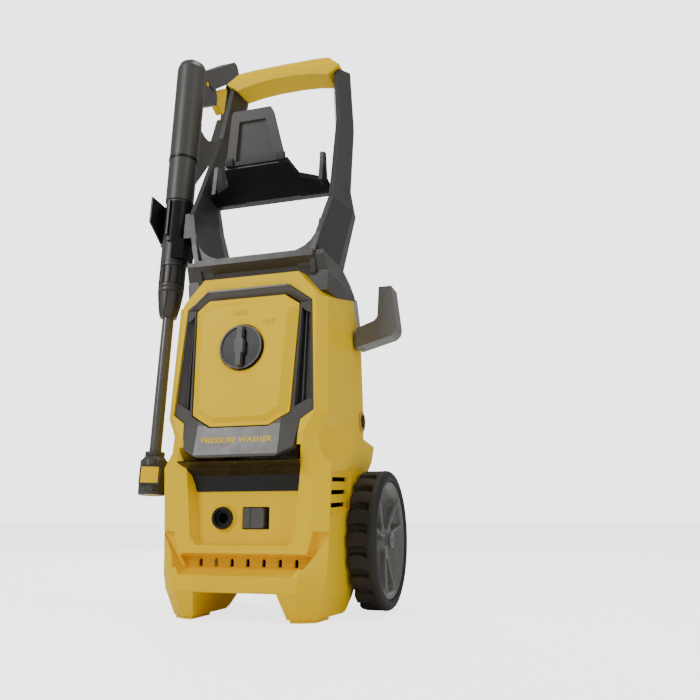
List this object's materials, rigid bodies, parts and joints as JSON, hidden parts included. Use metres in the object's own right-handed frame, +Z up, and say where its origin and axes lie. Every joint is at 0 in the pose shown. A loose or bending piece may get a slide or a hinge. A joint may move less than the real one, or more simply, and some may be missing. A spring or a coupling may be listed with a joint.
{
  "type": "pressure washer",
  "caption": "Upright electric pressure washer on two wheels with a loop handle, rotary switch, hose hanger, cable hook and a trigger gun with lance stowed in a side clip.",
  "frame": {"origin": "on the floor, at the centre of the bounding box in plan", "axes": "+Z up, -Y the front with the rotary switch, +X the side of the cable hook"},
  "size_m": [0.365, 0.3001, 0.9668],
  "materials": {
    "yellow_shell": "satin gloss moulded plastic",
    "rear_grey": "fine textured moulded plastic",
    "bezel_grey": "satin painted plastic",
    "dark_frame": "fine textured moulded plastic",
    "gloss_black": "gloss moulded plastic",
    "gun_grey": "fine textured moulded plastic",
    "lance_grey": "satin coated tube",
    "tyre_black": "matt rubber-like plastic",
    "rim_grey": "satin moulded plastic",
    "steel": "turned steel",
    "aluminium_casting": "die-cast",
    "winding_copper": "enamelled wire",
    "brass_fitting": "turned brass"
  },
  "bodies": {
    "machine": {"front_shell": "yellow_shell", "rear_shell": "rear_grey", "chassis": "dark_frame", "bezel": "bezel_grey", "centre_panel": "yellow_shell", "bay_tray": "gloss_black", "handle_frame": "dark_frame", "handle_grip": "yellow_shell", "hose_hanger": "gloss_black", "gun_holder": "gloss_black", "axle": "steel", "motor_stator": "steel", "stator_windings": "winding_copper", "motor_housing": "aluminium_casting", "gear_case": "aluminium_casting", "pump_head": "aluminium_casting", "valve_cover": "aluminium_casting", "pistons": "steel", "pressure_switch": "dark_frame", "mains_switch": "dark_frame", "capacitor": "dark_frame", "outlet_pipe": "brass_fitting", "inlet_connector": "brass_fitting", "inlet_strainer": "steel", "inlet_pipe": "gloss_black", "outlet_connector": "gloss_black", "cable_gland": "gloss_black", "shell_screws": "steel"},
    "switch_knob": {"switch_knob": "gloss_black"},
    "cable_hook": {"cable_hook": "rim_grey"},
    "wheel_left": {"tyre_left": "tyre_black", "rim_left": "rim_grey", "hub_cap_left": "rim_grey"},
    "wheel_right": {"tyre_right": "tyre_black", "rim_right": "rim_grey", "hub_cap_right": "rim_grey"},
    "lock_slider": {"lock_slider": "bezel_grey"},
    "rotor": {"rotor": "steel", "rotor_shaft": "steel", "cooling_fan": "dark_frame", "swash_plate": "steel"},
    "gun": {"gun_left_half": "gun_grey", "gun_right_half": "gun_grey", "gun_water_tube": "brass_fitting", "gun_band": "gloss_black", "gun_coupler": "gun_grey", "trigger_pin": "steel"},
    "trigger": {"trigger": "yellow_shell"},
    "safety_button": {"safety_button": "yellow_shell"},
    "lance": {"cone_nut": "gun_grey", "lance_tube": "lance_grey", "nozzle_body": "gun_grey"},
    "nozzle": {"nozzle_collar": "gun_grey", "nozzle_insert": "yellow_shell"}
  },
  "joints": [
    {"name": "knob_turn", "type": "hinge", "parent": "machine", "child": "switch_knob", "pos_m": [0, -0.1325, 0.355], "axis": [0, -0.9974, 0.072], "range_deg": [-60, 0]},
    {"name": "hook_swivel", "type": "hinge", "parent": "machine", "child": "cable_hook", "pos_m": [0.112, 0.021, 0.393], "axis": [1, 0, 0], "range_deg": [0, 180]},
    {"name": "wheel_left_turn", "type": "hinge", "parent": "machine", "child": "wheel_left", "pos_m": [-0.141, 0.051, 0.099], "axis": [1, 0, 0], "continuous": true},
    {"name": "wheel_right_turn", "type": "hinge", "parent": "machine", "child": "wheel_right", "pos_m": [0.141, 0.051, 0.099], "axis": [1, 0, 0], "continuous": true},
    {"name": "lock_slide", "type": "slide", "parent": "machine", "child": "lock_slider", "axis": [1, 0, 0], "range_m": [0, 0.006]},
    {"name": "rotor_turn", "type": "hinge", "parent": "machine", "child": "rotor", "pos_m": [0, -0.012, 0.3], "axis": [0, 0, 1], "continuous": true},
    {"name": "gun_lift", "type": "slide", "parent": "machine", "child": "gun", "axis": [0, 0.0718, 0.9974], "range_m": [0, 0.15]},
    {"name": "trigger_squeeze", "type": "hinge", "parent": "gun", "child": "trigger", "pos_m": [-0.158, 0.02112, 0.84895], "axis": [1, 0, 0], "range_deg": [0, 10], "stiffness_Nm_per_rad": 1.5, "springref_deg": -8.59},
    {"name": "safety_push", "type": "slide", "parent": "gun", "child": "safety_button", "axis": [1, 0, 0], "range_m": [0, 0.003]},
    {"name": "lance_twist", "type": "hinge", "parent": "gun", "child": "lance", "pos_m": [-0.158, -0.06624, 0.47125], "axis": [0, 0.0718, 0.9974], "range_deg": [0, 60]},
    {"name": "nozzle_twist", "type": "hinge", "parent": "lance", "child": "nozzle", "pos_m": [-0.158, -0.08636, 0.19198], "axis": [0, 0.0718, 0.9974], "range_deg": [0, 90]}
  ]
}
